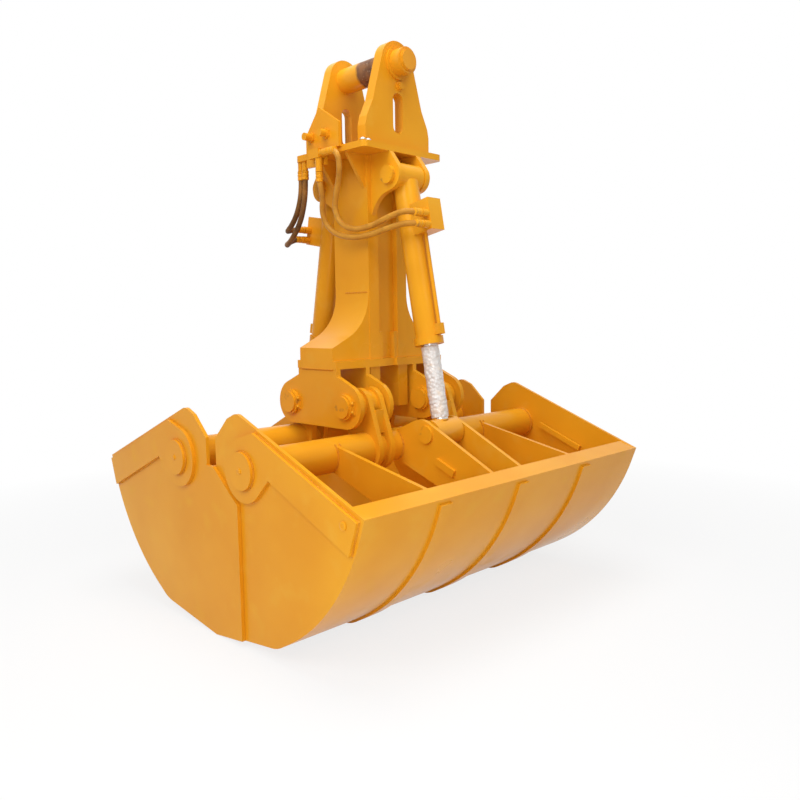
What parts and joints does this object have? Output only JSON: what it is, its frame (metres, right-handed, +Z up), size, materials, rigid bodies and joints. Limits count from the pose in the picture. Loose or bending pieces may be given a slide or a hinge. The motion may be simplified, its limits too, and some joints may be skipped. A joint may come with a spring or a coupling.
{
  "type": "clamshell bucket",
  "caption": "Hydraulic clamshell bucket for an excavator stick: fixed head with hitch pin, two hinged half shells and two cylinders that open them.",
  "frame": {"origin": "centre of the hitch pin, midway between the ears", "axes": "+X along the shells' width, +Y from the front shell to the rear shell along the hitch pin, +Z up"},
  "size_m": [1.472, 1.4358, 1.978],
  "materials": {
    "orange_enamel": "gloss enamel",
    "painted_pin": "gloss enamel over a pin head",
    "worn_pin": "bare steel with surface rust, painted at the ends",
    "rusty_steel": "rusted",
    "chrome_rod": "hard chrome",
    "machined_steel": "turned",
    "packing_film": "wrinkled clear film",
    "hose_painted": "overpainted rubber",
    "hose_rubber": "matt rubber"
  },
  "bodies": {
    "head": {"ear_front": "orange_enamel", "ear_rear": "orange_enamel", "hitch_pin": "worn_pin", "pin_keeper": "rusty_steel", "head_platform": "orange_enamel", "column": "orange_enamel", "foot_flange": "orange_enamel", "bracket_left_outer": "orange_enamel", "bracket_left_inner": "orange_enamel", "bracket_right_inner": "orange_enamel", "bracket_right_outer": "orange_enamel", "hinge_pin_front_left": "painted_pin", "hinge_pin_rear_left": "painted_pin", "hinge_pin_front_right": "painted_pin", "hinge_pin_rear_right": "painted_pin", "cylinder_lugs_front": "orange_enamel", "cylinder_lugs_rear": "orange_enamel", "cylinder_pin_front": "painted_pin", "cylinder_pin_rear": "painted_pin", "hose_bracket": "orange_enamel", "hose_front_upper": "hose_painted", "hose_front_lower": "hose_painted", "hose_rear_upper": "hose_rubber", "hose_rear_lower": "hose_rubber"},
    "shell_front": {"front_skin": "orange_enamel", "front_end_plate_under": "orange_enamel", "front_end_plate_over": "orange_enamel", "front_doublers": "orange_enamel", "front_torque_tube": "orange_enamel", "front_cutting_edge": "orange_enamel", "front_lip": "orange_enamel", "front_outer_ribs": "orange_enamel", "front_rod_ribs": "orange_enamel", "front_arm_left": "orange_enamel", "front_arm_right": "orange_enamel", "front_rod_pin": "painted_pin"},
    "barrel_front": {"front_barrel": "orange_enamel", "front_ports": "orange_enamel"},
    "rod_front": {"front_rod": "chrome_rod", "front_piston": "machined_steel", "front_rod_film": "packing_film"},
    "shell_rear": {"rear_skin": "orange_enamel", "rear_end_plate_under": "orange_enamel", "rear_end_plate_over": "orange_enamel", "rear_doublers": "orange_enamel", "rear_torque_tube": "orange_enamel", "rear_cutting_edge": "orange_enamel", "rear_lip": "orange_enamel", "rear_outer_ribs": "orange_enamel", "rear_rod_ribs": "orange_enamel", "rear_arm_left": "orange_enamel", "rear_arm_right": "orange_enamel", "rear_rod_pin": "painted_pin"},
    "barrel_rear": {"rear_barrel": "orange_enamel", "rear_ports": "orange_enamel"},
    "rod_rear": {"rear_rod": "chrome_rod", "rear_piston": "machined_steel", "rear_rod_film": "packing_film"}
  },
  "joints": [
    {"name": "front_shell_open", "type": "hinge", "parent": "head", "child": "shell_front", "pos_m": [0, -0.15, -1.188], "axis": [-1, 0, 0], "range_deg": [0, 50]},
    {"name": "front_barrel_swing", "type": "hinge", "parent": "head", "child": "barrel_front", "pos_m": [0, -0.186, -0.392], "axis": [-1, 0, 0], "range_deg": [0, 3.75]},
    {"name": "front_rod_slide", "type": "slide", "parent": "barrel_front", "child": "rod_front", "axis": [0, 0.1859, 0.9826], "range_m": [0, 0.1875], "deforming": ["front_rod_film"]},
    {"name": "rear_shell_open", "type": "hinge", "parent": "head", "child": "shell_rear", "pos_m": [0, 0.15, -1.188], "axis": [1, 0, 0], "range_deg": [0, 50]},
    {"name": "rear_barrel_swing", "type": "hinge", "parent": "head", "child": "barrel_rear", "pos_m": [0, 0.186, -0.392], "axis": [1, 0, 0], "range_deg": [0, 3.75]},
    {"name": "rear_rod_slide", "type": "slide", "parent": "barrel_rear", "child": "rod_rear", "axis": [0, -0.1859, 0.9826], "range_m": [0, 0.1875], "deforming": ["rear_rod_film"]}
  ],
  "couplings": [
    {"joint": "front_barrel_swing", "follows": "front_shell_open", "ratio": 0.0743},
    {"joint": "front_rod_slide", "follows": "front_shell_open", "m_per_rad": 0.2143},
    {"joint": "rear_barrel_swing", "follows": "rear_shell_open", "ratio": 0.0743},
    {"joint": "rear_rod_slide", "follows": "rear_shell_open", "m_per_rad": 0.2143}
  ]
}
